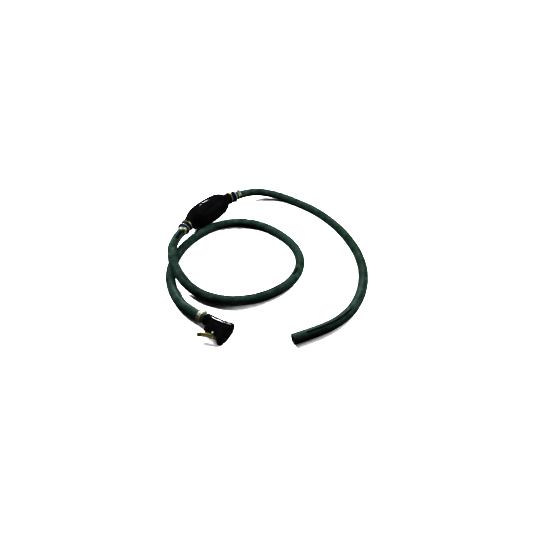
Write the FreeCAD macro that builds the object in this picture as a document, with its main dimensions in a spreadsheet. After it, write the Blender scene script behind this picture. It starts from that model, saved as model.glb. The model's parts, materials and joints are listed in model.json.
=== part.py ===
import FreeCAD, Part

import math
import os

import Sketcher
from FreeCAD import Placement, Rotation, Vector

# Primer bulb hose assembly. A squeeze bulb with a check valve in each neck joins two rubber
# hoses. The tank hose ends in a plain cut end, the engine hose in a twin-socket quick
# connector with a sprung thumb lever. Millimetres and degrees.
# Frame: origin on the floor under the middle of the bulb, +X along the bulb towards the tank
# hose, +Z up. The connector's sockets face -Y.

# Driving dimensions, as aliases of the sheet.
SIZES = {
    # squeeze bulb
    "bulb_radius": 25.5,        # outside, at its middle
    "bulb_wall": 3.5,
    "bulb_half": 58.0,          # middle of the bulb to the point where a neck bends
    "crown_half": 34.0,         # half length of the bulb's nearly straight middle
    "crown_drop": 2.2,          # how much the radius falls over that half length
    "shoulder_at": 49.0,        # a point on the rounded shoulder
    "shoulder_drop": 8.3,
    "arrow_rise": 0.6,
    # its two rubber necks, with distances out from the bend
    "neck_radius": 11.8,
    "neck_bore": 8.5,
    "neck_length": 21.0,
    "neck_overlap": 6.0,        # how far back a neck starts, inside the bulb
    "rib_from": 5.0,
    "rib_to": 8.0,
    "rib_radius": 13.3,
    "band_from": 9.2,
    "band_to": 11.1,
    "band_inner": 11.3,
    "band_outer": 12.4,
    # valve housings
    "housing_from": 1.0,
    "flange_radius": 12.9,
    "flange_to": 23.0,
    "chamber_radius": 6.6,
    "chamber_end": 17.0,
    "flow_radius": 3.0,
    "barb_root": 4.0,
    "barb_crest": 4.7,
    "barb_lead": 3.0,           # plain length ahead of the first tooth
    "barb_pitch": 5.0,
    # check valves, with heights along the flow from the seat's front
    "seat_opening": 3.4,
    "seat_width": 3.0,
    "seal_from": 3.05,
    "seal_to": 4.05,
    "seal_radius": 5.2,
    "disc_to": 5.55,
    "disc_radius": 5.6,
    "stem_radius": 1.1,
    "stem_end": 15.5,
    "guide_from": 13.0,
    "guide_width": 3.0,
    "guide_hole": 1.18,
    "port_radius": 1.2,
    "port_circle": 3.9,
    "wire_radius": 0.3,
    "coil_radius": 2.6,
    "coil_turns": 5.0,
    # hoses and their clamps
    "hose_radius": 8.75,
    "hose_bore": 4.75,
    "hose_gap": 0.3,            # end of a hose to the shoulder behind it
    "clamp_from": 6.0,          # end of a hose to its clamp
    "clamp_width": 7.0,
    "clamp_outer": 9.45,
    # connector, with distances back from its mating face
    "axis_height": 12.0,
    "socket_spacing": 14.0,
    "shell_radius": 10.0,
    "shell_back": 35.0,
    "barrel_back": 47.5,
    "face_radius": 12.0,
    "face_depth": 7.0,
    "face_spacing": 12.0,
    "collar_radius": 11.0,
    "collar_front": 10.0,
    "collar_back": 14.5,
    "boss_radius": 5.0,
    "boss_side": 22.0,
    "boss_depth": 5.6,
    "boss_tall": 20.0,
    "sleeve_front": 0.5,
    "fuel_radius": 5.05,
    "fuel_pocket": 6.3,
    "fuel_back": 14.5,
    "oring_tube": 0.58,
    "oring_depth": 15.2,
    "socket_seat_front": 16.0,
    "socket_seat_back": 19.0,
    "socket_seat_opening": 2.6,
    "plunger_front": 15.6,
    "plunger_nose": 1.5,
    "plunger_disc_front": 19.05,
    "plunger_disc_back": 20.8,
    "plunger_disc_radius": 3.9,
    "plunger_end": 36.6,
    "plunger_guide_front": 34.0,
    "plunger_port_radius": 0.8,
    "plunger_port_circle": 2.9,
    "valve_bore": 4.6,
    "valve_back": 38.0,
    "plug_radius": 7.0,
    "plug_shoulder": 8.2,
    "plug_back": 48.0,
    "guide_radius": 3.55,
    "guide_pocket": 4.9,
    "guide_back": 9.0,
    "latch_chamber_back": 27.0,
    # latch
    "window_tall": 9.6,
    "window_front": 9.5,
    "window_back": 27.0,
    "window_inner": 17.3,
    "relief_inner": 20.4,
    "relief_back": 36.0,
    "window_outer": 30.0,
    "pivot_back": 19.0,
    "pivot_side": 20.5,
    "pivot_radius": 1.25,
    "pivot_tall": 14.6,
    "lever_hole": 1.3,
    "lever_half": 4.5,          # half of its height
    "lever_sheet": 1.0,
    "hook_tall": 6.0,
    "latch_coil_radius": 1.9,
    "latch_coil_tall": 5.4,
}

doc = FreeCAD.newDocument("PrimerBulbHose")
sheet = doc.addObject("Spreadsheet::Sheet", "Sizes")
for line, (alias, value) in enumerate(SIZES.items(), start=1):
    sheet.set("A%d" % line, alias)
    sheet.set("B%d" % line, str(value))
    sheet.setAlias("B%d" % line, alias)
doc.recompute()

nodes = []                      # every sub-part, in the order in which it is made


# ---------------------------------------------------------------- helpers

def value_of(expression):
    """The number that a sum of aliases and plain numbers stands for."""
    total = 0.0
    sign = 1.0
    for word in expression.split():
        if word in "+-":
            sign = -1.0 if word == "-" else 1.0
        else:
            total += sign * float(sheet.get(word) if word in SIZES else word)
    return total


def bind(thing, field, expression):
    """Bind a property or constraint to a sum of the sheet's cells."""
    words = ["Sizes." + word if word in SIZES else word for word in expression.split()]
    thing.setExpression(field, " ".join(words))


def keep(piece, label, place=None):
    """List a finished piece as a sub-part, under its own label and in its place."""
    piece.Label = label
    if place is not None:
        piece.Placement = place
    nodes.append(piece)


def shifted(place, x=0.0, y=0.0, z=0.0):
    """A placement moved along its own axes."""
    return place * Placement(Vector(x, y, z), Rotation())


def origin_feature(body, role):
    return next(f for f in body.Origin.OriginFeatures if f.Role == role)


def new_sketch(body, name, role, lift="0"):
    """A sketch on one of the body's origin planes, raised along the plane's normal."""
    sketch = body.newObject("Sketcher::SketchObject", name)
    sketch.AttachmentSupport = [(origin_feature(body, role), "")]
    sketch.MapMode = "FlatFace"
    sketch.AttachmentOffset = Placement(Vector(0, 0, value_of(lift)), Rotation())
    bind(sketch, ".AttachmentOffset.Base.z", lift)
    return sketch


def pin_point(sketch, index, end, across, up):
    """Hold a point of a sketch at two expressions."""
    for kind, axis, expression in (("DistanceX", -2, across), ("DistanceY", -1, up)):
        number = value_of(expression)
        if abs(number) < 1e-9:
            sketch.addConstraint(Sketcher.Constraint("PointOnObject", index, end, axis))
        else:
            rule = Sketcher.Constraint(kind, -1, 1, index, end, number)
            bind(sketch, "Constraints[%d]" % sketch.addConstraint(rule), expression)


def draw_outline(sketch, corners):
    """A closed outline of straight lines. Each corner is a pair of expressions."""
    spots = [Vector(value_of(across), value_of(up), 0) for across, up in corners]
    count = len(spots)
    for i in range(count):
        sketch.addGeometry(Part.LineSegment(spots[i], spots[(i + 1) % count]), False)
    for i in range(count):
        sketch.addConstraint(Sketcher.Constraint("Coincident", i, 2, (i + 1) % count, 1))
    for i, (across, up) in enumerate(corners):
        pin_point(sketch, i, 1, across, up)


def draw_circle(sketch, radius, across="0", up="0"):
    """A circle whose radius and centre are expressions."""
    centre = Vector(value_of(across), value_of(up), 0)
    circle = Part.Circle(centre, Vector(0, 0, 1), value_of(radius))
    index = sketch.addGeometry(circle, False)
    pin_point(sketch, index, 3, across, up)
    rule = Sketcher.Constraint("Radius", index, value_of(radius))
    bind(sketch, "Constraints[%d]" % sketch.addConstraint(rule), radius)


def pad(body, sketch, length, middle=False):
    """Pad a sketch by an expression along its normal, or half of it each way."""
    feature = body.newObject("PartDesign::Pad", sketch.Name + "_pad")
    feature.Profile = sketch
    feature.Length = value_of(length)
    bind(feature, "Length", length)
    feature.Midplane = middle
    return feature


def pocket(body, sketch, length, middle=False, forward=False):
    """Cut a sketch out of the body against its normal, along it, or half each way."""
    doc.recompute()
    before = body.Shape.Volume
    feature = body.newObject("PartDesign::Pocket", sketch.Name + "_cut")
    feature.Profile = sketch
    feature.Length = value_of(length)
    bind(feature, "Length", length)
    feature.Midplane = middle
    feature.Reversed = forward
    doc.recompute()
    if body.Shape.Volume > before - 0.1:
        raise RuntimeError(feature.Name + " cuts nothing")
    return feature


def turned(name, corners):
    """A body turned about its own Z axis from (radius, height) corners."""
    body = doc.addObject("PartDesign::Body", name)
    sketch = new_sketch(body, name + "_outline", "XZ_Plane")
    draw_outline(sketch, corners)
    feature = body.newObject("PartDesign::Revolution", name + "_turn")
    feature.Profile = sketch
    feature.ReferenceAxis = (sketch, ["V_Axis"])
    feature.Angle = 360
    return body


def ring(name, inner, outer, low, high):
    """A turned ring with a square section."""
    return turned(name, [(inner, low), (outer, low), (outer, high), (inner, high)])


def combined(kind, name, pieces):
    """A boolean of two pieces, or a fusion of many."""
    result = doc.addObject(kind, name)
    if kind == "Part::MultiFuse":
        result.Shapes = pieces
    else:
        result.Base, result.Tool = pieces
    return result


# ---------------------------------------------------------------- necks

ENDS = ("inlet", "outlet")
SIDE = {"inlet": 1, "outlet": -1}           # the inlet takes the tank hose, at +X
NECK_TURN = {"inlet": 16.0, "outlet": 20.0}     # bend of each neck in plan, towards -Y
NECK_LIFT = {"inlet": -3.0, "outlet": 4.0}      # rise of each neck above level
EAR_SPIN = {"inlet": 0.0, "outlet": -50.0}      # its clamp's ear, from upright


def neck_direction(end):
    turn = math.radians(NECK_TURN[end])
    lift = math.radians(NECK_LIFT[end])
    flat = math.cos(lift)
    return Vector(SIDE[end] * math.cos(turn) * flat, -math.sin(turn) * flat, math.sin(lift))


def neck_pivot(end):
    return Vector(SIDE[end] * value_of("bulb_half"), 0, value_of("bulb_radius"))


def along_neck(end, distance=0.0):
    """A place out along a neck, with its Z along the neck and its Y upwards."""
    way = neck_direction(end)
    level = Vector(0, 0, 1).cross(way).normalize()
    upright = way.cross(level)
    spot = neck_pivot(end) + way * distance
    return Placement(spot, Rotation(level, upright, way, "ZXY"))


# ---------------------------------------------------------------- squeeze bulb

def bulb_form(name, radius, neck, half):
    """The bulb between its necks, turned about X. Each argument is an expression."""
    body = doc.addObject("PartDesign::Body", name)
    sketch = new_sketch(body, name + "_outline", "XY_Plane")
    left_half = "0 - " + half.replace("-", "+")
    corners = {
        "foot": (half, "0"), "tip": (half, neck),
        "knee": ("shoulder_at", radius + " - shoulder_drop"),
        "rim": ("crown_half", radius + " - crown_drop"), "top": ("0", radius),
        "left_rim": ("0 - crown_half", radius + " - crown_drop"),
        "left_knee": ("0 - shoulder_at", radius + " - shoulder_drop"),
        "left_tip": (left_half, neck), "left_foot": (left_half, "0"),
    }
    spot = {key: Vector(value_of(x), value_of(y), 0) for key, (x, y) in corners.items()}
    outline = [
        ("foot", "tip"), ("tip", "knee", "rim"), ("rim", "top", "left_rim"),
        ("left_rim", "left_knee", "left_tip"), ("left_tip", "left_foot"),
        ("left_foot", "foot"),
    ]
    for run in outline:
        if len(run) == 2:
            sketch.addGeometry(Part.LineSegment(*[spot[key] for key in run]), False)
        else:
            sketch.addGeometry(Part.Arc(*[spot[key] for key in run]), False)
    for i, run in enumerate(outline):
        after = (i + 1) % len(outline)
        sketch.addConstraint(Sketcher.Constraint("Coincident", i, 2, after, 1))
        pin_point(sketch, i, 1, *corners[run[0]])
        if len(run) == 3:
            middle = sketch.addGeometry(Part.Point(spot[run[1]]), True)
            pin_point(sketch, middle, 1, *corners[run[1]])
            sketch.addConstraint(Sketcher.Constraint("PointOnObject", middle, 1, i))
    feature = body.newObject("PartDesign::Revolution", name + "_turn")
    feature.Profile = sketch
    feature.ReferenceAxis = (sketch, ["H_Axis"])
    feature.Angle = 360
    body.Placement = Placement(Vector(0, 0, value_of("bulb_radius")), Rotation())
    return body


def neck_form(end):
    """The outside of one neck, with its raised rib and the groove for the band."""
    body = turned("neck_" + end, [
        ("0", "0 - neck_overlap"), ("neck_radius", "0 - neck_overlap"),
        ("neck_radius", "rib_from"),
        ("rib_radius", "rib_from + 0.6"), ("rib_radius", "rib_to - 0.6"),
        ("neck_radius", "rib_to"), ("neck_radius", "band_from"), ("band_inner", "band_from"),
        ("band_inner", "band_to"), ("neck_radius", "band_to"),
        ("neck_radius", "neck_length"), ("0", "neck_length"),
    ])
    body.Placement = along_neck(end)
    return body


def neck_hole(end):
    """The bore of one neck, run out past its end."""
    hole = doc.addObject("Part::Cylinder", "neck_hole_" + end)
    bind(hole, "Radius", "neck_bore")
    bind(hole, "Height", "neck_overlap + neck_length + 2")
    hole.Placement = along_neck(end, -value_of("neck_overlap"))
    return hole


def flow_arrow():
    """A raised arrow on top of the bulb that points the way the fuel goes."""
    body = doc.addObject("PartDesign::Body", "arrow_prism")
    sketch = new_sketch(body, "arrow_outline", "XY_Plane", "neck_radius")
    draw_outline(sketch, [
        ("-17", "0"), ("-8", "-6"), ("-8", "-2.2"), ("15", "-2.2"),
        ("15", "2.2"), ("-8", "2.2"), ("-8", "6"),
    ])
    pad(body, sketch, "bulb_radius")
    body.Placement = Placement(Vector(0, 0, value_of("bulb_radius")), Rotation())
    skin = bulb_form("arrow_skin", "bulb_radius + arrow_rise", "neck_radius", "bulb_half")
    return combined("Part::Common", "flow_arrow", [skin, body])


def primer_bulb():
    outside = [bulb_form("bulb_outside", "bulb_radius", "neck_radius - 0.5", "bulb_half")]
    outside.append(flow_arrow())
    inside = ("bulb_radius - bulb_wall", "neck_bore - 0.6", "bulb_half - 1")
    hollow = [bulb_form("bulb_inside", *inside)]
    for end in ENDS:
        outside.append(neck_form(end))
        hollow.append(neck_hole(end))
    skin = combined("Part::MultiFuse", "bulb_skin", outside)
    hole = combined("Part::MultiFuse", "bulb_hollow", hollow)
    keep(combined("Part::Cut", "bulb_shell", [skin, hole]), "primer_bulb")


# ---------------------------------------------------------------- valves in the necks

BARB_TEETH = 3


def barb_corners(root):
    """The saw-tooth outside of a hose barb, from its root outwards."""
    corners = [("barb_root", root)]
    start = root + " + barb_lead"
    corners.append(("barb_root", start))
    for tooth in range(BARB_TEETH):
        corners.append(("barb_crest", start))
        start += " + barb_pitch"
        corners.append(("barb_root", start))
    corners.append(("flow_radius", start))
    return corners


def valve_housing(end):
    body = turned("housing_" + end, [
        ("chamber_radius", "housing_from"), ("neck_bore", "housing_from"),
        ("neck_bore", "neck_length"), ("flange_radius", "neck_length"),
        ("flange_radius", "flange_to"),
    ] + barb_corners("flange_to") + [
        ("flow_radius", "chamber_end"), ("chamber_radius", "chamber_end"),
    ])
    keep(body, end + "_valve_housing", along_neck(end))


def neck_band(end):
    body = turned("band_" + end, [
        ("band_inner", "band_from"), ("band_outer", "band_from + 0.3"),
        ("band_outer", "band_to - 0.3"), ("band_inner", "band_to"),
    ])
    keep(body, end + "_neck_band", along_neck(end))


def stem_guide(name, outside, thickness, port_radius, port_circle):
    """A disc with a hole for a stem in its middle and six flow holes round it."""
    body = doc.addObject("PartDesign::Body", name)
    sketch = new_sketch(body, name + "_disc", "XY_Plane")
    draw_circle(sketch, outside)
    draw_circle(sketch, "guide_hole")
    pad(body, sketch, thickness)
    port = new_sketch(body, name + "_port", "XY_Plane")
    draw_circle(port, port_radius, port_circle)
    cut = pocket(body, port, thickness, forward=True)
    ports = body.newObject("PartDesign::PolarPattern", name + "_ports")
    ports.Originals = [cut]
    ports.Axis = (port, ["N_Axis"])
    ports.Angle = 360
    ports.Occurrences = 6
    body.Tip = ports
    return body


def coil(name, radius, tall, place):
    """A coil spring of round wire that stands on its place's XY plane."""
    line = doc.addObject("Part::Helix", name + "_line")
    bind(line, "Radius", radius)
    bind(line, "Height", tall)
    line.setExpression("Pitch", "Height / Sizes.coil_turns")
    line.SegmentLength = 0
    wire = doc.addObject("Part::Circle", name + "_wire")
    bind(wire, "Radius", "wire_radius")
    wire.Placement = Placement(Vector(value_of(radius), 0, 0), Rotation(Vector(1, 0, 0), 90))
    doc.recompute()
    sweep = doc.addObject("Part::Sweep", name + "_sweep")
    sweep.Sections = [wire]
    sweep.Spine = (line, ["Edge%d" % (i + 1) for i in range(len(line.Shape.Edges))])
    sweep.Solid = True
    sweep.Frenet = True
    keep(sweep, name, place)


def check_valve(end):
    """The loose pieces in one neck, along the flow: into the bulb, or out of it."""
    if end == "outlet":
        place = along_neck(end, value_of("housing_from"))
    else:
        place = along_neck(end, value_of("chamber_end"))
        place = place * Placement(Vector(), Rotation(Vector(1, 0, 0), 180))
    seat = ring("seat_" + end, "seat_opening", "chamber_radius", "0", "seat_width")
    keep(seat, end + "_valve_seat", place)
    seal = turned("seal_" + end, [
        ("0", "seal_from"), ("seal_radius", "seal_from"), ("seal_radius", "seal_to"),
        ("0", "seal_to"),
    ])
    keep(seal, end + "_poppet_seal", place)
    poppet = turned("poppet_" + end, [
        ("0", "seal_to"), ("disc_radius", "seal_to"), ("disc_radius", "disc_to"),
        ("stem_radius", "disc_to"), ("stem_radius", "stem_end"), ("0", "stem_end"),
    ])
    keep(poppet, end + "_poppet", place)
    guide = stem_guide("guide_" + end, "chamber_radius", "guide_width",
                       "port_radius", "port_circle")
    keep(guide, end + "_stem_guide", shifted(place, z=value_of("guide_from")))
    foot = value_of("disc_to + wire_radius")
    coil(end + "_valve_spring", "coil_radius",
         "guide_from - disc_to - wire_radius - wire_radius", shifted(place, z=foot))


# ---------------------------------------------------------------- connector

CONNECTOR_TURN = -83.0          # way in which the connector's face looks, from +X in plan
HOSE_END = Vector(-214.5, -193.5, value_of("axis_height"))

# Connector's own axes: X out of its face, Y away from the lever, Z up.
CONNECTOR_AXES = Rotation(Vector(0, 0, 1), CONNECTOR_TURN)
FACE_WAY = CONNECTOR_AXES.multVec(Vector(1, 0, 0))
CONNECTOR = Placement(HOSE_END + FACE_WAY * value_of("plug_back + hose_gap"), CONNECTOR_AXES)
# The same point with Z running back from the face, for the pieces turned about a socket.
REARWARD = Placement(Vector(), Rotation(Vector(0, 1, 0), -90))
GUIDE_SIDE = -value_of("socket_spacing")


def oblong_pads(body, name, radius, spacing, back, depth):
    """An oblong block with round sides: two discs and the block between them."""
    for label, across in (("far", "0"), ("near", "0 - " + spacing)):
        disc = new_sketch(body, name + "_" + label, "YZ_Plane", "0 - " + back)
        draw_circle(disc, radius, across)
        pad(body, disc, depth)
    block = new_sketch(body, name + "_block", "YZ_Plane", "0 - " + back)
    draw_outline(block, [
        ("0", "0 - " + radius), ("0", radius),
        ("0 - " + spacing, radius), ("0 - " + spacing, "0 - " + radius),
    ])
    pad(body, block, depth)


def round_hole(body, name, radius, depth, across="0", back="0"):
    """A round pocket cut backwards into the connector."""
    sketch = new_sketch(body, name, "YZ_Plane", "0 - " + back if back != "0" else "0")
    draw_circle(sketch, radius, across)
    pocket(body, sketch, depth)


def side_cut(body, name, front, back, inner):
    """A slot cut into the lever's side of the connector."""
    sketch = new_sketch(body, name, "XY_Plane")
    draw_outline(sketch, [
        ("0 - " + front, "0 - " + inner), ("0 - " + front, "0 - window_outer"),
        ("0 - " + back, "0 - window_outer"), ("0 - " + back, "0 - " + inner),
    ])
    pocket(body, sketch, "window_tall", middle=True)


def connector_body():
    body = doc.addObject("PartDesign::Body", "connector_shell")
    oblong_pads(body, "shell", "shell_radius", "socket_spacing", "shell_back", "shell_back - 1")
    barrel = new_sketch(body, "barrel", "YZ_Plane", "0 - barrel_back")
    draw_circle(barrel, "shell_radius")
    pad(body, barrel, "barrel_back - 1")
    oblong_pads(body, "face", "face_radius", "face_spacing", "face_depth", "face_depth")
    collar = new_sketch(body, "collar", "YZ_Plane", "0 - collar_back")
    draw_circle(collar, "collar_radius")
    pad(body, collar, "collar_back - collar_front")
    boss = new_sketch(body, "boss", "XY_Plane")
    draw_circle(boss, "boss_radius", "0 - boss_depth", "0 - boss_side")
    pad(body, boss, "boss_tall", middle=True)
    # the fuel way, from the socket to the hose barb
    round_hole(body, "fuel_socket", "fuel_pocket", "socket_seat_back")
    round_hole(body, "valve_way", "valve_bore", "valve_back")
    round_hole(body, "plug_hole", "plug_radius", "barrel_back - valve_back + 1", back="valve_back")
    # the guide socket and the latch's room behind it
    side = "0 - socket_spacing"
    round_hole(body, "guide_socket", "guide_pocket", "guide_back", side)
    round_hole(body, "latch_room", "valve_bore", "latch_chamber_back", side)
    side_cut(body, "window", "window_front", "window_back", "window_inner")
    side_cut(body, "relief", "window_back", "relief_back", "relief_inner")
    pin_hole = new_sketch(body, "pin_hole", "XY_Plane")
    draw_circle(pin_hole, "pivot_radius", "0 - pivot_back", "0 - pivot_side")
    pocket(body, pin_hole, "pivot_tall + 5", middle=True)
    keep(body, "connector_body", CONNECTOR)


def connector_fuel_way():
    """Sleeve, ring, seat, plunger, guide and hose barb, all on the fuel socket's axis."""
    place = CONNECTOR * REARWARD
    keep(ring("sleeve", "fuel_radius", "fuel_pocket", "sleeve_front", "fuel_back"),
         "fuel_socket_sleeve", place)
    oring = doc.addObject("Part::Torus", "oring")
    bind(oring, "Radius1", "fuel_pocket - oring_tube")
    bind(oring, "Radius2", "oring_tube")
    keep(oring, "fuel_socket_oring", shifted(place, z=value_of("oring_depth")))
    keep(ring("socket_seat", "socket_seat_opening", "fuel_pocket", "socket_seat_front",
              "socket_seat_back"), "connector_valve_seat", place)
    keep(turned("plunger", [
        ("0", "plunger_front"), ("plunger_nose", "plunger_front"),
        ("plunger_nose", "plunger_disc_front"), ("plunger_disc_radius", "plunger_disc_front"),
        ("plunger_disc_radius", "plunger_disc_back"), ("stem_radius", "plunger_disc_back"),
        ("stem_radius", "plunger_end"), ("0", "plunger_end"),
    ]), "connector_plunger", place)
    guide = stem_guide("plunger_guide", "valve_bore", "guide_width",
                       "plunger_port_radius", "plunger_port_circle")
    keep(guide, "connector_stem_guide", shifted(place, z=value_of("plunger_guide_front")))
    coil("connector_spring", "coil_radius",
         "plunger_guide_front - plunger_disc_back - wire_radius - wire_radius",
         shifted(place, z=value_of("plunger_disc_back + wire_radius")))
    keep(turned("hose_plug", [
        ("flow_radius", "valve_back"), ("plug_radius", "valve_back"),
        ("plug_radius", "barrel_back"), ("plug_shoulder", "barrel_back"),
        ("plug_shoulder", "plug_back"),
    ] + barb_corners("plug_back")), "connector_hose_barb", place)


def connector_guide_bush():
    keep(ring("bush", "guide_radius", "guide_pocket", "sleeve_front", "guide_back"),
         "guide_socket_bush", shifted(CONNECTOR, y=GUIDE_SIDE) * REARWARD)


def latch():
    """A pressed channel with a hook at its front, on a pin that stands upright."""
    body = doc.addObject("PartDesign::Body", "lever")
    web = new_sketch(body, "web", "XY_Plane")
    draw_outline(web, [
        ("4", "-3"), ("4", "-2"), ("-16.8", "-8.2"), ("-22.4", "-11.4"),
        ("-21.9", "-12.3"), ("-17", "-9.2"),
    ])
    pad(body, web, "lever_half + lever_half", middle=True)
    for name, low in (("upper", "lever_half - lever_sheet"), ("lower", "0 - lever_half")):
        plate = new_sketch(body, name + "_plate", "XY_Plane", low)
        draw_outline(plate, [
            ("4", "-3"), ("4.4", "0.6"), ("2.2", "2.6"), ("-1.5", "2.6"), ("-5", "0.2"),
            ("-9", "-3.4"), ("-17", "-6.6"), ("-21", "-9.4"), ("-21.9", "-12.3"),
            ("-17", "-9.2"),
        ])
        pad(body, plate, "lever_sheet")
    hook = new_sketch(body, "hook", "XY_Plane")
    draw_outline(hook, [
        ("3", "-2.6"), ("4.2", "-3"), ("8", "-0.8"), ("8.6", "4.2"), ("6.8", "4.2"),
        ("6.2", "0.6"), ("3", "-1"),
    ])
    pad(body, hook, "hook_tall", middle=True)
    hole = new_sketch(body, "lever_pin_hole", "XY_Plane")
    draw_circle(hole, "lever_hole")
    pocket(body, hole, "pivot_tall", middle=True)
    pivot = shifted(CONNECTOR, -value_of("pivot_back"), -value_of("pivot_side"))
    keep(body, "latch_lever", pivot)
    pin = doc.addObject("Part::Cylinder", "pin")
    bind(pin, "Radius", "pivot_radius")
    bind(pin, "Height", "pivot_tall")
    keep(pin, "latch_pivot_pin", shifted(pivot, z=-value_of("pivot_tall") / 2))
    coil("latch_spring", "latch_coil_radius", "latch_coil_tall",
         shifted(pivot, z=-value_of("latch_coil_tall") / 2))


# ---------------------------------------------------------------- hoses

FLOOR = value_of("hose_radius")         # a hose's middle when it lies on the floor


def straight_out(end, run):
    """The first two points of a hose, in line with its neck."""
    way = neck_direction(end)
    first = neck_pivot(end) + way * value_of("flange_to + hose_gap")
    return [first, first + way * run]


# Each route lists the points that the hose bends round.
ENGINE_ROUTE = straight_out("outlet", 42) + [
    # over the hose's own far end in a long low hump, then down to the floor
    Vector(-151, -50, 30), Vector(-173, -85, 26), Vector(-182, -127, 14),
    # round the loop
    Vector(-175, -170, FLOOR), Vector(-150, -214, FLOOR), Vector(-106, -245, FLOOR),
    Vector(-55, -257, FLOOR), Vector(-5, -242, FLOOR), Vector(29, -203, FLOOR),
    Vector(44, -151, FLOOR), Vector(44, -102, FLOOR), Vector(25, -61, FLOOR),
    # beside the bulb, under the hump and forward to the connector
    Vector(-11, -33.5, FLOOR), Vector(-54, -25, FLOOR), Vector(-98, -28, FLOOR),
    Vector(-140, -42, FLOOR), Vector(-177, -68, FLOOR), Vector(-204, -107, FLOOR),
    HOSE_END - FACE_WAY * 42, HOSE_END,
]

TANK_ROUTE = straight_out("inlet", 36) + [
    # down to the floor beside the bulb
    Vector(143, -39, 17.5), Vector(160, -72, 12), Vector(165, -115, FLOOR),
    # one wide sweep to the open end
    Vector(161, -168, FLOOR), Vector(145, -220, FLOOR), Vector(118, -271, FLOOR),
    Vector(79, -319, FLOOR), Vector(29, -354, FLOOR), Vector(-30, -372, FLOOR),
    Vector(-83, -369, FLOOR), Vector(-125, -350, FLOOR), Vector(-163, -326, FLOOR),
]


def bent_path(points):
    """Straight runs joined by tangent arcs, each as large as its two runs allow."""
    edges = []
    radii = []
    last = points[0]
    for before, corner, after in zip(points, points[1:], points[2:]):
        come = (corner - before).normalize()
        leave = (after - corner).normalize()
        half_turn = come.getAngle(leave) / 2
        reach = 0.45 * min((corner - before).Length, (after - corner).Length)
        radius = reach / math.tan(half_turn)
        radii.append(radius)
        start = corner - come * reach
        finish = corner + leave * reach
        inward = (leave - come).normalize()
        middle = corner + inward * (radius / math.cos(half_turn) - radius)
        edges.append(Part.LineSegment(last, start).toShape())
        edges.append(Part.Arc(start, middle, finish).toShape())
        last = finish
    edges.append(Part.LineSegment(last, points[-1]).toShape())
    return Part.Wire(edges), radii


def hose(label, points):
    path, radii = bent_path(points)
    way = points[1] - points[0]
    outer, inner = [
        Part.Face(Part.Wire(Part.makeCircle(value_of(radius), points[0], way)))
        for radius in ("hose_radius", "hose_bore")
    ]
    section = outer.cut(inner).Faces[0]
    tube = path.makePipe(section)
    share = tube.Volume / (section.Area * path.Length)
    if abs(share - 1) > 0.001:
        raise RuntimeError("%s holds %.3f of its section times its length" % (label, share))
    piece = doc.addObject("Part::Feature", label)
    piece.Shape = tube
    keep(piece, label)
    print(label, "length %.1f, arc radii" % path.Length, [round(radius) for radius in radii])


def ear_clamp(label, place):
    """A band round a hose, with the hollow ear that is pinched to tighten it."""
    body = doc.addObject("PartDesign::Body", label + "_body")
    band = new_sketch(body, label + "_band", "XY_Plane")
    draw_circle(band, "clamp_outer")
    draw_circle(band, "hose_radius")
    pad(body, band, "clamp_width")
    ear = new_sketch(body, label + "_ear", "XY_Plane")
    draw_outline(ear, [
        ("-4.2", "8.2"), ("-3.5", "clamp_outer + 3.1"), ("-2.4", "clamp_outer + 4.2"),
        ("2.4", "clamp_outer + 4.2"), ("3.5", "clamp_outer + 3.1"), ("4.2", "8.2"),
        ("3.4", "8.4"), ("2.8", "clamp_outer + 2.8"), ("2.1", "clamp_outer + 3.5"),
        ("-2.1", "clamp_outer + 3.5"), ("-2.8", "clamp_outer + 2.8"), ("-3.4", "8.4"),
    ])
    pad(body, ear, "clamp_width")
    keep(body, label, place)


# ---------------------------------------------------------------- assembly

primer_bulb()
for end in ENDS:
    valve_housing(end)
    neck_band(end)
    check_valve(end)
    out = value_of("flange_to + hose_gap + clamp_from")
    spin = Placement(Vector(), Rotation(Vector(0, 0, 1), EAR_SPIN[end]))
    ear_clamp(end + "_hose_clamp", along_neck(end, out) * spin)
hose("tank_hose", TANK_ROUTE)
hose("engine_hose", ENGINE_ROUTE)
connector_body()
connector_fuel_way()
connector_guide_bush()
latch()
clamp_back = value_of("plug_back + hose_gap + clamp_from")
ear_clamp("connector_hose_clamp", shifted(CONNECTOR * REARWARD, z=clamp_back)
          * Placement(Vector(), Rotation(Vector(0, 0, 1), 5)))

doc.recompute()
for thing in doc.Objects:
    if "Invalid" in thing.State or "Error" in thing.State:
        raise RuntimeError("%s did not compute: %s" % (thing.Label, thing.getStatusString()))

os.makedirs("parts", exist_ok=True)
for piece in nodes:
    shape = piece.Shape
    if shape.isNull() or not shape.isValid() or len(shape.Solids) != 1:
        raise RuntimeError("%s is not one valid solid" % piece.Label)
    shape.exportStep("parts/%s.step" % piece.Label)
print(len(nodes), "sub-parts")
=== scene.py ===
import json
import math

import bmesh
import bpy
from mathutils import Matrix, Vector


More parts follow.
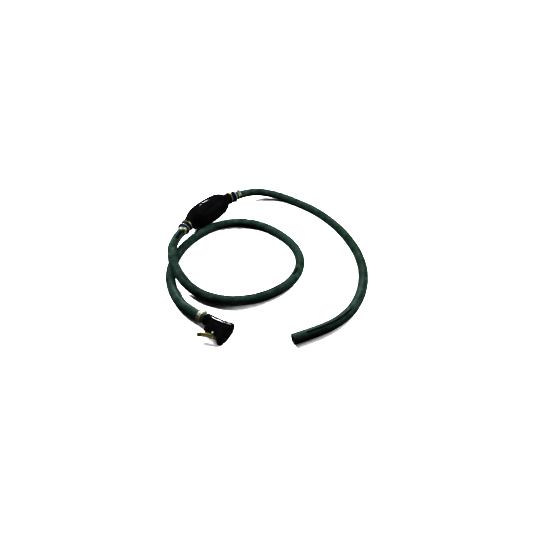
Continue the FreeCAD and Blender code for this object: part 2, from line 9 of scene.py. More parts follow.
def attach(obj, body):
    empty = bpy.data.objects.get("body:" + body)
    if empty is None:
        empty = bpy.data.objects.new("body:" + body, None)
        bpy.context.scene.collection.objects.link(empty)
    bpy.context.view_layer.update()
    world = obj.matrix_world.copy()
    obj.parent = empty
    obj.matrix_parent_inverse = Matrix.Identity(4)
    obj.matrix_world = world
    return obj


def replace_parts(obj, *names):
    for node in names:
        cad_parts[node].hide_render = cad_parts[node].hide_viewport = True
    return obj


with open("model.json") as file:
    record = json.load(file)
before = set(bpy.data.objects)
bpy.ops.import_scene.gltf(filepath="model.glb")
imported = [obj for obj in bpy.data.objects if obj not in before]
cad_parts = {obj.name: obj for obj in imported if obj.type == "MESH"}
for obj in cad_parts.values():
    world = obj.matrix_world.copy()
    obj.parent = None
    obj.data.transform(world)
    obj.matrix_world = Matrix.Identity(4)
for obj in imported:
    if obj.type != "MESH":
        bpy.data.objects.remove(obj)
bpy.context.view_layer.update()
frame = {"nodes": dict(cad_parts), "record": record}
SLOT_OF = {part["node"]: part["material_slot"] for part in frame["record"]["subparts"]}
MM = 0.001
UP = Vector((0, 0, 1))


# ---------------------------------------------------------------- places, in millimetres

HOSE_RADIUS = 8.75
HOSE_BORE = 4.75
BULB_RADIUS = 25.5
BULB_HALF = 58.0                    # middle of the bulb to the bend of a neck
ENDS = ("inlet", "outlet")
SIDE = {"inlet": 1, "outlet": -1}
NECK_TURN = {"inlet": 16.0, "outlet": 20.0}     # bend of each neck in plan, towards -Y
NECK_LIFT = {"inlet": -3.0, "outlet": 4.0}      # rise of each neck above level
EAR_SPIN = {"inlet": 0.0, "outlet": -50.0}      # its clamp's ear, from upright
FLANGE_TO = 23.0                    # outer face of a valve housing's flange, from the bend
HOSE_GAP = 0.3
CLAMP_FROM = 6.0
SOCKET_SPACING = 14.0
PLUG_BACK = 48.0                    # rear of the connector's plug, from the mating face
CONNECTOR_TURN = math.radians(-83)  # way in which the connector's face looks, from +X in plan
HOSE_END = Vector((-214.5, -193.5, 12.0))
FACE_WAY = Vector((math.cos(CONNECTOR_TURN), math.sin(CONNECTOR_TURN), 0))
FACE_ACROSS = Vector((-FACE_WAY.y, FACE_WAY.x, 0))
FACE = HOSE_END + FACE_WAY * (PLUG_BACK + HOSE_GAP)


def neck_direction(end):
    turn = math.radians(NECK_TURN[end])
    lift = math.radians(NECK_LIFT[end])
    flat = math.cos(lift)
    return Vector((SIDE[end] * math.cos(turn) * flat, -math.sin(turn) * flat, math.sin(lift)))


def neck_pivot(end):
    return Vector((SIDE[end] * BULB_HALF, 0, BULB_RADIUS))


def basis(across, upright, way, spot):
    """A matrix whose X, Y and Z are these directions, at a spot in millimetres."""
    turn = Matrix((across, upright, way)).transposed().to_4x4()
    return Matrix.Translation(spot * MM) @ turn @ Matrix.Scale(MM, 4)


def along_neck(end, distance=0.0):
    """Out along a neck, with Z along the neck and Y upwards, in millimetres."""
    way = neck_direction(end)
    level = UP.cross(way).normalized()
    return basis(level, way.cross(level), way, neck_pivot(end) + way * distance)


def rearward(distance, across=0.0):
    """Back from the connector's mating face: X runs to the lever's side, Z rearward, Y up."""
    spot = FACE - FACE_WAY * distance + FACE_ACROSS * across
    return basis(-FACE_ACROSS, UP, -FACE_WAY, spot)


# ---------------------------------------------------------------- hose routes

FLOOR = HOSE_RADIUS                 # height of a hose's middle where it lies on the floor
LOOK = 0.6                          # reach each way over which a hose's direction is taken


def straight_out(end, run):
    way = neck_direction(end)
    first = neck_pivot(end) + way * (FLANGE_TO + HOSE_GAP)
    return [first, first + way * run]


ENGINE_ROUTE = straight_out("outlet", 42) + [
    # over the hose's own far end in a long low hump, then down to the floor
    Vector((-151, -50, 30)), Vector((-173, -85, 26)), Vector((-182, -127, 14)),
    # round the loop
    Vector((-175, -170, FLOOR)), Vector((-150, -214, FLOOR)), Vector((-106, -245, FLOOR)),
    Vector((-55, -257, FLOOR)), Vector((-5, -242, FLOOR)), Vector((29, -203, FLOOR)),
    Vector((44, -151, FLOOR)), Vector((44, -102, FLOOR)), Vector((25, -61, FLOOR)),
    # beside the bulb, under the hump and forward to the connector
    Vector((-11, -33.5, FLOOR)), Vector((-54, -25, FLOOR)), Vector((-98, -28, FLOOR)),
    Vector((-140, -42, FLOOR)), Vector((-177, -68, FLOOR)), Vector((-204, -107, FLOOR)),
    HOSE_END - FACE_WAY * 42, HOSE_END,
]

TANK_ROUTE = straight_out("inlet", 36) + [
    # down to the floor beside the bulb
    Vector((143, -39, 17.5)), Vector((160, -72, 12)), Vector((165, -115, FLOOR)),
    # one wide sweep to the open end
    Vector((161, -168, FLOOR)), Vector((145, -220, FLOOR)), Vector((118, -271, FLOOR)),
    Vector((79, -319, FLOOR)), Vector((29, -354, FLOOR)), Vector((-30, -372, FLOOR)),
    Vector((-83, -369, FLOOR)), Vector((-125, -350, FLOOR)), Vector((-163, -326, FLOOR)),
]


def spline_line(name, route):
    """The points of a smooth NURBS line whose control points are the route's, in millimetres."""
    curve = bpy.data.curves.new(name, "CURVE")
    curve.dimensions = "3D"
    spline = curve.splines.new("NURBS")
    spline.points.add(len(route) - 1)
    for point, spot in zip(spline.points, route):
        point.co = (*(spot * MM), 1.0)
    spline.order_u = 3
    spline.use_endpoint_u = True
    spline.resolution_u = 32
    holder = bpy.data.objects.new(name, curve)
    mesh = bpy.data.meshes.new_from_object(holder)
    line = [v.co.copy() / MM for v in mesh.vertices]
    bpy.data.meshes.remove(mesh)
    bpy.data.objects.remove(holder)
    bpy.data.curves.remove(curve)
    return line


class Track:
    """A line by distance, with the skin of the hose that runs along it."""

    def __init__(self, line):
        self.line = line
        self.at = [0.0]
        for a, b in zip(line, line[1:]):
            self.at.append(self.at[-1] + (b - a).length)
        self.length = self.at[-1]

    def spot(self, distance):
        distance = min(max(distance, 0.0), self.length)
        low, high = 0, len(self.at) - 1
        while high - low > 1:
            middle = (low + high) // 2
            if self.at[middle] <= distance:
                low = middle
            else:
                high = middle
        share = (distance - self.at[low]) / max(self.at[high] - self.at[low], 1e-9)
        return self.line[low].lerp(self.line[high], share)

    def surface(self, distance, angle, radius):
        """A point on the hose's skin. The angle is from the top, towards the right of travel."""
        way = (self.spot(distance + LOOK) - self.spot(distance - LOOK)).normalized()
        side = way.cross(UP).normalized()
        upright = side.cross(way)
        turn = math.radians(angle)
        return self.spot(distance) + (upright * math.cos(turn) + side * math.sin(turn)) * radius


# ---------------------------------------------------------------- materials

def new_material(name, base, roughness, metallic=0.0, specular=0.5):
    """A new material, with its node tree and its shader."""
    material = bpy.data.materials.new(name)
    material.use_nodes = True
    tree = material.node_tree
    shader = tree.nodes["Principled BSDF"]
    shader.inputs["Base Color"].default_value = (*base, 1)
    shader.inputs["Roughness"].default_value = roughness
    shader.inputs["Metallic"].default_value = metallic
    shader.inputs["Specular IOR Level"].default_value = specular
    return material, tree, shader


def noise(tree, scale, detail=3.0, roughness=0.5):
    """Noise in the object's own space, in cycles per millimetre."""
    where = tree.nodes.new("ShaderNodeTexCoord")
    mapping = tree.nodes.new("ShaderNodeMapping")
    mapping.inputs["Scale"].default_value = (1000, 1000, 1000)
    tree.links.new(where.outputs["Object"], mapping.inputs["Vector"])
    texture = tree.nodes.new("ShaderNodeTexNoise")
    texture.inputs["Scale"].default_value = scale
    texture.inputs["Detail"].default_value = detail
    texture.inputs["Roughness"].default_value = roughness
    tree.links.new(mapping.outputs["Vector"], texture.inputs["Vector"])
    return texture.outputs["Fac"]


def ramp(tree, value, stops):
    """Colours along a value. Each stop is a place and a colour or a grey level."""
    made = tree.nodes.new("ShaderNodeValToRGB")
    elements = made.color_ramp.elements
    while len(elements) < len(stops):
        elements.new(0.5)
    for element, (place, colour) in zip(elements, stops):
        element.position = place
        grey = isinstance(colour, (int, float))
        element.color = (colour, colour, colour, 1) if grey else (*colour, 1)
    tree.links.new(value, made.inputs["Fac"])
    return made.outputs["Color"]


def bump(tree, shader, height, distance):
    """Adds a bump to a shader, on top of any that it has. The distance is in millimetres."""
    made = tree.nodes.new("ShaderNodeBump")
    made.inputs["Strength"].default_value = 1.0
    made.inputs["Distance"].default_value = distance * MM
    tree.links.new(height, made.inputs["Height"])
    socket = shader.inputs["Normal"]
    if socket.links:
        tree.links.new(socket.links[0].from_socket, made.inputs["Normal"])
    tree.links.new(made.outputs["Normal"], socket)


def mottled(name, dark, light, roughness, scale, specular=0.5, grain=0.02):
    """A surface whose colour and roughness vary softly, with a fine grain."""
    material, tree, shader = new_material(name, dark, 0.5, specular=specular)
    patches = noise(tree, scale)
    colour = ramp(tree, patches, [(0.3, dark), (0.7, light)])
    tree.links.new(colour, shader.inputs["Base Color"])
    low, high = roughness
    smears = noise(tree, scale * 3, 2.0)
    tree.links.new(ramp(tree, smears, [(0.3, low), (0.7, high)]), shader.inputs["Roughness"])
    bump(tree, shader, noise(tree, 3.0, 2.0), grain)
    return material


def hose_material():
    """Dark green rubber in soft patches, with fine drawn lines along the hose."""
    material, tree, shader = new_material("hose_rubber", (0.1, 0.12, 0.1), 0.5, specular=0.12)
    patches = noise(tree, 0.09, 5.0, 0.72)
    colour = ramp(tree, patches, [
        (0.36, (0.0025, 0.0055, 0.004)), (0.46, (0.0060, 0.0130, 0.0075)),
        (0.56, (0.0090, 0.0145, 0.0170)), (0.67, (0.0125, 0.0270, 0.0080)),
    ])
    tree.links.new(colour, shader.inputs["Base Color"])
    tree.links.new(ramp(tree, noise(tree, 0.2), [(0.3, 0.38), (0.7, 0.58)]),
                   shader.inputs["Roughness"])
    where = tree.nodes.new("ShaderNodeUVMap")
    where.uv_map = "skin"
    mapping = tree.nodes.new("ShaderNodeMapping")
    mapping.inputs["Scale"].default_value = (48, 300, 1)    # round the hose, and per metre of it
    tree.links.new(where.outputs["UV"], mapping.inputs["Vector"])
    drawn = tree.nodes.new("ShaderNodeTexNoise")
    drawn.inputs["Scale"].default_value = 1.0
    drawn.inputs["Detail"].default_value = 3.0
    tree.links.new(mapping.outputs["Vector"], drawn.inputs["Vector"])
    bump(tree, shader, drawn.outputs["Fac"], 0.12)
    bump(tree, shader, noise(tree, 2.2, 2.0), 0.03)
    return material


def plated_material(name, dark, light, stain, metallic=0.5):
    """Plated metal that also scatters some light, with stains and fine dents."""
    material, tree, shader = new_material(name, dark, 0.3, metallic=metallic)
    patches = noise(tree, 0.25, 4.0, 0.6)
    colour = ramp(tree, patches, [(0.32, stain), (0.5, dark), (0.7, light)])
    tree.links.new(colour, shader.inputs["Base Color"])
    tree.links.new(ramp(tree, noise(tree, 0.9), [(0.3, 0.2), (0.75, 0.42)]),
                   shader.inputs["Roughness"])
    bump(tree, shader, noise(tree, 1.6, 2.0), 0.03)
    return material


MATERIALS = {
    "hose_rubber": hose_material(),
    "bore": mottled("hose_bore", (0.008, 0.009, 0.009), (0.014, 0.016, 0.015), (0.5, 0.7), 0.2),
    "print": mottled("print_black", (0.0008, 0.0008, 0.0008), (0.0018, 0.0018, 0.0018),
                     (0.45, 0.6), 0.4, specular=0.05),
    "bulb_rubber": mottled("bulb_rubber", (0.0012, 0.0012, 0.0014), (0.0024, 0.0024, 0.0028),
                           (0.03, 0.07), 0.06, specular=0.15, grain=0.0006),
    "connector_plastic": mottled("connector_plastic", (0.0012, 0.0012, 0.0012),
                                 (0.0024, 0.0024, 0.0024), (0.02, 0.05), 0.15, specular=0.15,
                                 grain=0.002),
    "clamp_steel": plated_material("clamp_steel", (0.16, 0.16, 0.10), (0.32, 0.32, 0.25),
                                   (0.04, 0.04, 0.015), 0.6),
    "band_wire": plated_material("band_wire", (0.22, 0.21, 0.10), (0.34, 0.33, 0.20),
                                 (0.10, 0.09, 0.04), 0.6),
    "anodised_aluminium": plated_material("anodised_aluminium", (0.20, 0.25, 0.36),
                                          (0.34, 0.40, 0.52), (0.10, 0.12, 0.20), 0.8),
    "spring_steel": plated_material("spring_steel", (0.52, 0.53, 0.54), (0.66, 0.67, 0.68),
                                    (0.40, 0.41, 0.42)),
    "brass": plated_material("brass", (0.30, 0.21, 0.09), (0.42, 0.31, 0.15),
                             (0.16, 0.10, 0.04), 1.0),
    "seal_rubber": mottled("seal_rubber", (0.012, 0.012, 0.012), (0.02, 0.02, 0.02),
                           (0.4, 0.6), 0.3),
    # brown painted shade, standing in for the shaded hollow of the lever's outer face
    "lever_face_shade": mottled("lever_face_shade", (0.10, 0.060, 0.030), (0.16, 0.10, 0.045),
                         (0.35, 0.55), 0.5),
    "lever_steel": plated_material("lever_steel", (0.045, 0.050, 0.014), (0.09, 0.095, 0.032),
                                   (0.022, 0.024, 0.006), 0.25),
    "pin_steel": plated_material("pin_steel", (0.60, 0.60, 0.60), (0.72, 0.72, 0.72),
                                 (0.46, 0.46, 0.45)),
    "valve_plastic": mottled("valve_plastic", (0.62, 0.60, 0.54), (0.74, 0.72, 0.66),
                             (0.35, 0.5), 0.2),
}


# ---------------------------------------------------------------- mesh helpers

def loft(mesh, rings, closed=True):
    """Faces between successive rings of vertices, each ring a closed loop."""
    faces = []
    runs = len(rings) if closed else len(rings) - 1
    for j in range(runs):
        near, far = rings[j], rings[(j + 1) % len(rings)]
        for i in range(len(near)):
            k = (i + 1) % len(near)
            faces.append(mesh.faces.new((near[i], near[k], far[k], far[i])))
    return faces


def capped(mesh, rings):
    """A closed solid from successive rings of vertices."""
    loft(mesh, rings, closed=False)
    mesh.faces.new(rings[0])
    mesh.faces.new(rings[-1])


def mesh_data(name, mesh):
    """What a bmesh in metres holds, with its faces turned outwards, as a mesh."""
    data = bpy.data.meshes.new(name)
    bmesh.ops.recalc_face_normals(mesh, faces=mesh.faces)
    mesh.to_mesh(data)
    mesh.free()
    return data


def linked(name, data):
    """A new object in the scene."""
    thing = bpy.data.objects.new(name, data)
    bpy.context.scene.collection.objects.link(thing)
    return thing


def show(name, mesh, material, body="root", sharp=40):
    """A piece from a bmesh in metres."""
    return show_data(name, mesh_data(name, mesh), material, body, sharp)


def show_data(name, data, material, body="root", sharp=40):
    """A piece on a body, smooth but for edges sharper than an angle."""
    for face in data.polygons:
        face.use_smooth = True
    data.set_sharp_from_angle(angle=math.radians(sharp))
    data.materials.clear()
    data.materials.append(MATERIALS[material])
    piece = linked(name, data)
    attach(piece, body)
    return piece


def rounded(corners, radius, steps=4):
    """A closed outline of (x, y) corners, with every corner rounded as far as it has room."""
    out = []
    for i, corner in enumerate(corners):
        here = Vector(corner)
        before = Vector(corners[i - 1]) - here
        after = Vector(corners[(i + 1) % len(corners)]) - here
        start = here + before.normalized() * min(radius, 0.45 * before.length)
        finish = here + after.normalized() * min(radius, 0.45 * after.length)
        for step in range(steps + 1):
            t = step / steps
            out.append(start * (1 - t) ** 2 + here * 2 * t * (1 - t) + finish * t ** 2)
    return out


def lathe(name, outline, place, material, soften=0.25, segments=72):
    """A ring turned about Z from a closed (radius, height) outline, in millimetres."""
    mesh = bmesh.new()
    points = rounded(outline, soften)
    rings = []
    for i in range(segments):
        turn = 2 * math.pi * i / segments
        spots = [Vector((p[0] * math.cos(turn), p[0] * math.sin(turn), p[1])) for p in points]
        rings.append([mesh.verts.new(place @ spot) for spot in spots])
    loft(mesh, rings)
    return show(name, mesh, material)


def turned(profile, place, segments):
    """A bmesh of a solid turned about Z, from its (radius, height) steps."""
    mesh = bmesh.new()
    rings = []
    for radius, height in profile:
        outline = disc_outline(radius, segments=segments)
        rings.append([mesh.verts.new(place @ Vector((x, y, height))) for x, y in outline])
    capped(mesh, rings)
    return mesh


def prism(mesh, outline, low, high, place):
    """A closed prism on an (x, y) outline, between two heights."""
    rings = []
    for height in (low, high):
        spots = [place @ Vector((p[0], p[1], height)) for p in outline]
        rings.append([mesh.verts.new(spot) for spot in spots])
    capped(mesh, rings)


def disc_outline(radius, across=0.0, up=0.0, segments=96):
    turns = [2 * math.pi * i / segments for i in range(segments)]
    return [(across + radius * math.cos(t), up + radius * math.sin(t)) for t in turns]


def oblong_outline(radius, near, far):
    """The outline round two discs of one radius, at two places along x."""
    out = []
    half_turn = 48
    for middle, start in ((far, -math.pi / 2), (near, math.pi / 2)):
        for i in range(half_turn + 1):
            t = math.pi * i / half_turn + start
            out.append((middle + radius * math.cos(t), radius * math.sin(t)))
    return out


def applied(name, mesh, modifiers):
    """The mesh that a bmesh becomes under some modifiers, each a kind and its settings."""
    holder = linked(name, mesh_data(name, mesh))
    helpers = []
    for kind, settings in modifiers:
        modifier = holder.modifiers.new(kind, kind)
        for key, value in settings.items():
            if isinstance(value, bmesh.types.BMesh):
                value = linked("cutter", mesh_data("cutter", value))
                helpers.append(value)
            setattr(modifier, key, value)
    graph = bpy.context.evaluated_depsgraph_get()
    result = bpy.data.meshes.new_from_object(holder.evaluated_get(graph))
    for thing in [holder] + helpers:
        bpy.data.objects.remove(thing)
    return result


def melted(voxel):
    """Melts overlapping solids into one, to a voxel size in millimetres."""
    return ("REMESH", {"mode": "VOXEL", "voxel_size": voxel * MM})


def cut_by(mesh):
    """Takes a solid away from another."""
    return ("BOOLEAN", {"operation": "DIFFERENCE", "solver": "EXACT", "object": mesh})


def smoothed(passes):
    """Rounds every edge a little."""
    return ("SMOOTH", {"factor": 0.5, "iterations": passes})


def step(value, edge, width):
    """0 below an edge and 1 above it, with a smooth rise of a given width across it."""
    t = min(max((value - edge) / width + 0.5, 0.0), 1.0)
    return t * t * (3 - 2 * t)


def ridge(value, low, high, width):
    """1 between two edges and 0 beyond them, each softened over a given width."""
    return step(value, low, width) - step(value, high, width)


# ---------------------------------------------------------------- hoses

HOSE_SIDES = 48
CUT_LIP = 0.8                       # rounding at a cut end
SKIN_STEP = 2.4                     # between rings of the outside
BORE_STEP = 6                       # between rings of the bore
BULGE = 0.28                        # rise of the hose beside a clamp
BULGE_AWAY = 5.2                    # where it is highest, from the clamp's middle
PINCH = 0.06                        # sink of the hose under a clamp
INK_OUT = 0.05                      # height of the print above the hose's skin
INK_IN = 0.15                       # its depth below the skin


def swell_at(distance, clamps):
    """How far the hose bulges beside its clamps, and pinches under them."""
    total = 0.0
    for middle in clamps:
        away = abs(distance - middle)
        rise = BULGE * math.exp(-((away - BULGE_AWAY) / 1.7) ** 2)
        total += rise - PINCH * ridge(away, -1, 3.4, 0.6)
    return total


def hose_piece(name, track, clamps):
    """A hollow hose along a track, with clamps round it at some distances."""
    mesh = bmesh.new()
    skin = mesh.loops.layers.uv.new("skin")
    steps = [CUT_LIP * (1 - math.cos(math.pi / 2 * k / 4)) for k in range(4)]
    distances = steps + [CUT_LIP]
    count = int(track.length / SKIN_STEP)
    for i in range(1, count):
        distances.append(CUT_LIP + (track.length - 2 * CUT_LIP) * i / count)
        if any(abs(distances[-1] - middle) < 12 for middle in clamps):
            distances.append(distances[-1] + SKIN_STEP / 2)
    distances += [track.length - CUT_LIP] + [track.length - d for d in reversed(steps)]
    profile = []
    for distance in distances:
        into = min(distance, track.length - distance)
        drop = 0.0
        if into < CUT_LIP:
            drop = CUT_LIP - math.sqrt(CUT_LIP ** 2 - (CUT_LIP - into) ** 2)
        profile.append((distance, HOSE_RADIUS - drop + swell_at(distance, clamps)))
    outside = len(profile)
    profile.append((track.length, HOSE_BORE + 0.5))
    profile.append((track.length - 0.15, HOSE_BORE + 0.15))
    inner = int(track.length / BORE_STEP)
    for i in range(inner + 1):
        profile.append((0.5 + (track.length - 1.0) * (inner - i) / inner, HOSE_BORE))
    profile.append((0.0, HOSE_BORE + 0.5))
    rings = []
    for distance, radius in profile:
        spots = [track.surface(distance, 360 * i / HOSE_SIDES, radius) * MM
                 for i in range(HOSE_SIDES)]
        rings.append([mesh.verts.new(spot) for spot in spots])
    for index, face in enumerate(loft(mesh, rings)):
        j, i = divmod(index, HOSE_SIDES)
        face.material_index = 1 if outside < j < len(profile) - 2 else 0
        ends = (profile[j][0], profile[(j + 1) % len(profile)][0])
        for loop, (u, v) in zip(face.loops, ((i, 0), (i + 1, 0), (i + 1, 1), (i, 1))):
            loop[skin].uv = (u / HOSE_SIDES, ends[v] * MM)
    piece = show(name, mesh, "hose_rubber", sharp=50)
    piece.data.materials.append(MATERIALS["bore"])
    return piece


def printed(name, track, marks):
    """Flat printed marks on a hose: (start, end, middle angle, width round the hose)."""
    mesh = bmesh.new()
    across = 6
    for start, end, angle, width in marks:
        half = math.degrees(width / 2 / HOSE_RADIUS)
        count = max(1, int((end - start) / 3.0))
        rings = []
        for i in range(count + 1):
            distance = start + (end - start) * i / count
            spots = []
            for side, radius in ((1, HOSE_RADIUS + INK_OUT), (-1, HOSE_RADIUS - INK_IN)):
                for k in range(across + 1):
                    turn = angle + side * half * (2 * k / across - 1)
                    spots.append(track.surface(distance, turn, radius) * MM)
            rings.append([mesh.verts.new(spot) for spot in spots])
        capped(mesh, rings)
    return show(name, mesh, "print")


def tick_row(start, end, angle):
    """Evenly spaced plain strokes of three heights, with every seventh left out."""
    marks = []
    pitch, length, heights = 4.0, 2.0, (4.6, 3.2, 4.0)
    distance, index = start, 0
    while distance < end:
        if index % 7 != 6:
            marks.append((distance, distance + length, angle, heights[index % 3]))
        distance += pitch
        index += 1
    return marks


# ---------------------------------------------------------------- squeeze bulb

CROWN = (34.0, 23.3)                # (distance from the middle, radius) at its shoulders
KNEE = (49.0, 17.2)
TIP = (58.0, 11.3)
BULB_WALL = 3.5
NECK_RADIUS = 11.8
NECK_BORE = 8.5
NECK_END = 79.0
BEND_HALF = 7.0                     # half the length over which a neck bends
NECK_RING = (63.4, 65.6)            # the raised ring round a neck, from the bulb's middle
BAND_GROOVE = (67.2, 69.1)          # the groove for a neck's wire band
BULB_SIDES = 96
SEAM_PROUD = 0.16                   # height of the mould seam on each side


def arc_through(a, b, c):
    """The circle through three points, as its middle and radius."""
    (ax, ay), (bx, by), (cx, cy) = a, b, c
    d = 2 * (ax * (by - cy) + bx * (cy - ay) + cx * (ay - by))
    sa, sb, sc = ax * ax + ay * ay, bx * bx + by * by, cx * cx + cy * cy
    x = (sa * (by - cy) + sb * (cy - ay) + sc * (ay - by)) / d
    y = (sa * (cx - bx) + sb * (ax - cx) + sc * (bx - ax)) / d
    return x, y, math.hypot(ax - x, ay - y)


CROWN_ARC = arc_through((-CROWN[0], CROWN[1]), (0, BULB_RADIUS), CROWN)
SHOULDER_ARC = arc_through(CROWN, KNEE, TIP)


def bulb_outline(away):
    """The bulb's radius at a distance from its middle, without its necks."""
    x, y, radius = CROWN_ARC if away <= CROWN[0] else SHOULDER_ARC
    reach = radius ** 2 - (away - x) ** 2
    return y + math.sqrt(reach) if reach > 0 else 0.0


def outer_radius(away):
    """The radius of the skin of the bulb and its necks."""
    body, neck = bulb_outline(min(away, 62.0)), NECK_RADIUS
    if away < 52:
        radius = body
    else:
        radius = (body + neck + math.sqrt((body - neck) ** 2 + 1.6)) / 2
        radius -= 0.2 * step(away, 62, 6)
    radius += 1.5 * ridge(away, *NECK_RING, 0.9)
    radius -= 0.5 * ridge(away, *BAND_GROOVE, 0.3)
    return radius - 0.45 * step(away, NECK_END, 0.9)


def inner_radius(away):
    """The radius of the hollow of the bulb and its necks."""
    body = bulb_outline(min(away, 57.0)) - BULB_WALL
    if away > 57:
        return NECK_BORE
    return (body + NECK_BORE + math.sqrt((body - NECK_BORE) ** 2 + 1.0)) / 2


def bulb_axes(t):
    """Spot, sideways and upward vectors at a signed distance along the bulb."""
    end = "inlet" if t > 0 else "outlet"
    side = SIDE[end]
    pivot, out = neck_pivot(end), neck_direction(end)
    straight = Vector((side, 0, 0))
    away = abs(t)
    share = min(max((away - BULB_HALF + BEND_HALF) / (2 * BEND_HALF), 0.0), 1.0)
    if share <= 0:
        spot = Vector((t, 0, BULB_RADIUS))
    elif share >= 1:
        spot = pivot + out * (away - BULB_HALF)
    else:
        a, b = pivot - straight * BEND_HALF, pivot + out * BEND_HALF
        spot = a * (1 - share) ** 2 + pivot * 2 * share * (1 - share) + b * share ** 2
    forward = straight.lerp(out, share).normalized() * side
    sideways = forward.cross(UP).normalized()
    return spot, sideways, sideways.cross(forward)


def bulb_piece():
    """The hollow bulb with its two necks, and a mould seam along each side."""
    mesh = bmesh.new()
    turns = {360 * i / BULB_SIDES for i in range(BULB_SIDES)}
    for seam in (90.0, 270.0):
        turns |= {seam + d for d in (-1.4, -0.9, -0.45, 0.45, 0.9, 1.4)}
    turns = sorted(turns)
    # rings lie closer over the bends, the neck's ring and groove, and the end
    aways = [2.0 * i for i in range(26)] + [51 + 0.5 * i for i in range(24)]
    aways += [63 + 0.2 * i for i in range(32)] + [69.4, 71.5, 74, 76.5, 78, 78.4]
    aways += [78.6, 78.8, 78.95, 79.0]
    line = [-a for a in reversed(aways[1:])] + aways

    def ring(t, radius_of, seamed):
        spot, sideways, upright = bulb_axes(t)
        base = radius_of(abs(t))
        spots = []
        for turn in turns:
            off_seam = min(abs(turn - 90), abs(turn - 270)) / 360 * 2 * math.pi * base
            drop = SEAM_PROUD * (1 - math.exp(-(off_seam / 0.28) ** 2))
            radius = base - (drop if seamed else 0.0)
            angle = math.radians(turn)
            out = upright * math.cos(angle) + sideways * math.sin(angle)
            spots.append(spot + out * radius)
        return [mesh.verts.new(p * MM) for p in spots]

    rings = [ring(t, outer_radius, abs(t) < 63) for t in line]
    hollow = [2.0 * i for i in range(40)] + [NECK_END]
    for t in reversed([-a for a in reversed(hollow[1:])] + hollow):
        rings.append(ring(t, inner_radius, False))
    loft(mesh, rings)
    return show("squeeze_bulb", mesh, "bulb_rubber")


def on_bulb(x, y, proud):
    """A point above a place in the bulb's plan, so far proud of its skin."""
    radius = bulb_outline(abs(x)) + proud
    return Vector((x, y, BULB_RADIUS + math.sqrt(radius ** 2 - y ** 2)))


def raised_on_bulb(name, outline):
    """A plain raised shape on top of the bulb, from its outline in plan."""
    mesh = bmesh.new()
    prism(mesh, rounded(outline, 0.8, 3), 0.0, 1.0, Matrix())
    # cut it up, so that it can bend to the bulb
    for axis, reach, pitch in ((Vector((1, 0, 0)), 36, 1.5), (Vector((0, 1, 0)), 14, 1.0)):
        place = -reach + 0.37
        while place < reach:
            bmesh.ops.bisect_plane(mesh, geom=mesh.verts[:] + mesh.edges[:] + mesh.faces[:],
                                   plane_co=axis * place, plane_no=axis)
            place += pitch
    for vertex in mesh.verts:
        x, y, height = vertex.co
        vertex.co = on_bulb(x, y, 0.6 if height > 0.5 else -0.4) * MM
    rim = [e for e in mesh.edges if len(e.link_faces) == 2
           and e.calc_face_angle() > math.radians(50)]
    bmesh.ops.bevel(mesh, geom=rim, offset=0.28 * MM, segments=3, affect="EDGES", profile=0.5)
    return show(name, mesh, "bulb_rubber", sharp=60)


# ---------------------------------------------------------------- fittings on the necks

def hose_barb(base):
    """The (radius, height) steps of a toothed barb, 18 mm long, and back to its bore."""
    steps = []
    for tooth in range(3):
        start = base + 3.0 + 5.0 * tooth
        steps += [(4.0, start), (4.7, start + 0.1)]
    return steps + [(4.0, base + 18.0), (3.0, base + 18.0)]


def valve_housing(end):
    """The turned plug in a neck: its chamber, the flange that shows, and the hose barb."""
    outline = [(6.6, 1.0), (NECK_BORE, 1.0), (NECK_BORE, 21.0), (12.9, 21.0), (12.9, FLANGE_TO),
               (4.0, FLANGE_TO)]
    outline += hose_barb(FLANGE_TO) + [(3.0, 17.0), (6.6, 17.0)]
    return lathe(end + "_plug", outline, along_neck(end), "anodised_aluminium", soften=0.3)


def neck_wires(end):
    """Two turns of wire drawn tight in a neck's groove, with the crimp that holds them."""
    outline = [(11.3, 9.25)]
    for middle in (9.7, 10.6):
        for k in range(7):
            turn = math.pi * k / 6
            outline.append((11.75 + 0.55 * math.sin(turn), middle - 0.45 * math.cos(turn)))
    outline.append((11.3, 11.05))
    wires = lathe(end + "_wires", outline, along_neck(end), "band_wire", soften=0.02,
                  segments=96)
    mesh = bmesh.new()
    place = along_neck(end) @ Matrix.Rotation(math.radians(EAR_SPIN[end] + 8), 4, "Z")
    outline = rounded([(-3.2, 11.4), (3.2, 11.4), (3.0, 12.9), (-3.0, 12.9)], 0.5)
    prism(mesh, outline, 8.7, 11.6, place)
    crimp = show(end + "_crimp", mesh, "band_wire", sharp=30)
    soften = crimp.modifiers.new("edges", "BEVEL")
    soften.width = 0.25 * MM
    soften.segments = 3
    return wires, crimp


# ---------------------------------------------------------------- ear clamps

CLAMP_WIDTH = 7.0
STRIP_THICK = 0.34
OUTER_LAYER = 9.28                  # middle of the outer layer of the strip
INNER_LAYER = 8.94                  # and of the inner layer


def strip(mesh, line, width_at, place, dimple=0.0):
    """A flat strip on an (x, y) line, as wide along Z as width_at says, dimpled on its ear."""
    rings = []
    lanes = 8
    count = len(line)
    for i, here in enumerate(line):
        ahead, behind = line[min(i + 1, count - 1)], line[max(i - 1, 0)]
        way = (ahead - behind).normalized()
        out = Vector((way.y, -way.x)) * -1
        half = width_at(i / (count - 1)) / 2
        spots = []
        for side in (1, -1):
            for k in range(lanes + 1):
                lane = side * (2 * k / lanes - 1)
                edge = 1 - 0.5 * step(abs(lane), 0.97, 0.12)
                sink = dimple * math.exp(-(here.x / 1.5) ** 2 - (lane / 0.5) ** 2)
                if here.y < OUTER_LAYER + 3:
                    sink = 0.0
                spot = here + out * (side * STRIP_THICK / 2 * edge - sink)
                spots.append(Vector((spot.x, spot.y, CLAMP_WIDTH / 2 + half * lane)))
        rings.append([mesh.verts.new(place @ spot) for spot in spots])
    capped(mesh, rings)


